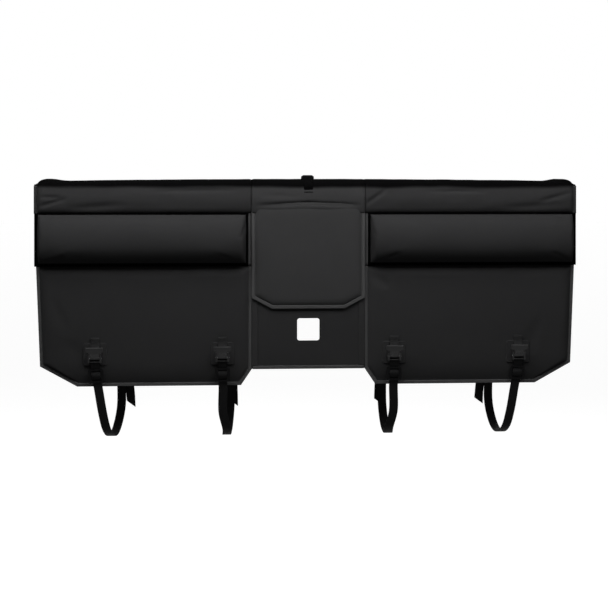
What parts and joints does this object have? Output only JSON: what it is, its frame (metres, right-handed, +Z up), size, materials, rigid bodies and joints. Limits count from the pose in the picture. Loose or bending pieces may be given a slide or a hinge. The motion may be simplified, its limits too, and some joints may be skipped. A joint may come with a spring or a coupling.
{
  "type": "tailgate bike pad",
  "caption": "Padded cover that hangs over a pickup's tailgate to carry bikes, with bolsters, a handle flap, a window and cam-buckle straps.",
  "frame": {"origin": "middle of the flat underside of the saddle, which rests on the tailgate's top edge", "axes": "+X along the tailgate, -Y away from the truck (the padded front), +Z up"},
  "size_m": [1.5776, 0.1683, 0.76],
  "materials": {
    "coated_fabric": "matt black coated fabric",
    "flap_fabric": "matt charcoal coated fabric",
    "lining": "soft brushed lining",
    "binding": "woven edge tape",
    "webbing": "flat woven webbing",
    "buckle_plastic": "moulded, fine texture",
    "pin_steel": "plain"
  },
  "bodies": {
    "pad": {"left_saddle": "coated_fabric", "centre_saddle": "coated_fabric", "right_saddle": "coated_fabric", "left_bolster": "coated_fabric", "right_bolster": "coated_fabric", "left_lower_panel": "coated_fabric", "right_lower_panel": "coated_fabric", "centre_panel": "coated_fabric", "handle_flap": "flap_fabric", "inner_panel": "lining", "left_saddle_binding": "binding", "right_saddle_binding": "binding", "left_panel_binding": "binding", "right_panel_binding": "binding", "flap_binding": "binding", "centre_hem": "binding", "inner_binding": "binding", "left_seam_tape": "binding", "right_seam_tape": "binding", "left_outer_patch": "coated_fabric", "left_outer_buckle_frame": "buckle_plastic", "left_outer_cam_pin": "pin_steel", "left_outer_buckle_tab": "webbing", "left_outer_slider": "buckle_plastic", "left_outer_strap": "webbing", "left_outer_ladder_lock": "buckle_plastic", "left_outer_lock_tab": "webbing", "left_inner_patch": "coated_fabric", "left_inner_buckle_frame": "buckle_plastic", "left_inner_cam_pin": "pin_steel", "left_inner_buckle_tab": "webbing", "left_inner_slider": "buckle_plastic", "left_inner_strap": "webbing", "left_inner_ladder_lock": "buckle_plastic", "left_inner_lock_tab": "webbing", "right_outer_patch": "coated_fabric", "right_outer_buckle_frame": "buckle_plastic", "right_outer_cam_pin": "pin_steel", "right_outer_buckle_tab": "webbing", "right_outer_slider": "buckle_plastic", "right_outer_strap": "webbing", "right_outer_ladder_lock": "buckle_plastic", "right_outer_lock_tab": "webbing", "right_inner_patch": "coated_fabric", "right_inner_buckle_frame": "buckle_plastic", "right_inner_cam_pin": "pin_steel", "right_inner_buckle_tab": "webbing", "right_inner_slider": "buckle_plastic", "right_inner_strap": "webbing", "right_inner_ladder_lock": "buckle_plastic", "right_inner_lock_tab": "webbing", "top_buckle_socket": "buckle_plastic", "top_buckle_plug": "buckle_plastic", "top_front_strap": "webbing", "top_rear_strap": "webbing"},
    "left_outer_lever": {"left_outer_cam_lever": "buckle_plastic"},
    "left_inner_lever": {"left_inner_cam_lever": "buckle_plastic"},
    "right_outer_lever": {"right_outer_cam_lever": "buckle_plastic"},
    "right_inner_lever": {"right_inner_cam_lever": "buckle_plastic"}
  },
  "joints": [
    {"name": "left_outer_cam_press", "type": "hinge", "parent": "pad", "child": "left_outer_lever", "pos_m": [-0.613, -0.073, -0.497], "axis": [-1, 0, 0], "range_deg": [0, 20], "stiffness_Nm_per_rad": 0.08, "springref_deg": -28.65},
    {"name": "left_inner_cam_press", "type": "hinge", "parent": "pad", "child": "left_inner_lever", "pos_m": [-0.249, -0.073, -0.497], "axis": [-1, 0, 0], "range_deg": [0, 20], "stiffness_Nm_per_rad": 0.08, "springref_deg": -28.65},
    {"name": "right_outer_cam_press", "type": "hinge", "parent": "pad", "child": "right_outer_lever", "pos_m": [0.613, -0.073, -0.497], "axis": [-1, 0, 0], "range_deg": [0, 20], "stiffness_Nm_per_rad": 0.08, "springref_deg": -28.65},
    {"name": "right_inner_cam_press", "type": "hinge", "parent": "pad", "child": "right_inner_lever", "pos_m": [0.249, -0.073, -0.497], "axis": [-1, 0, 0], "range_deg": [0, 20], "stiffness_Nm_per_rad": 0.08, "springref_deg": -28.65}
  ]
}
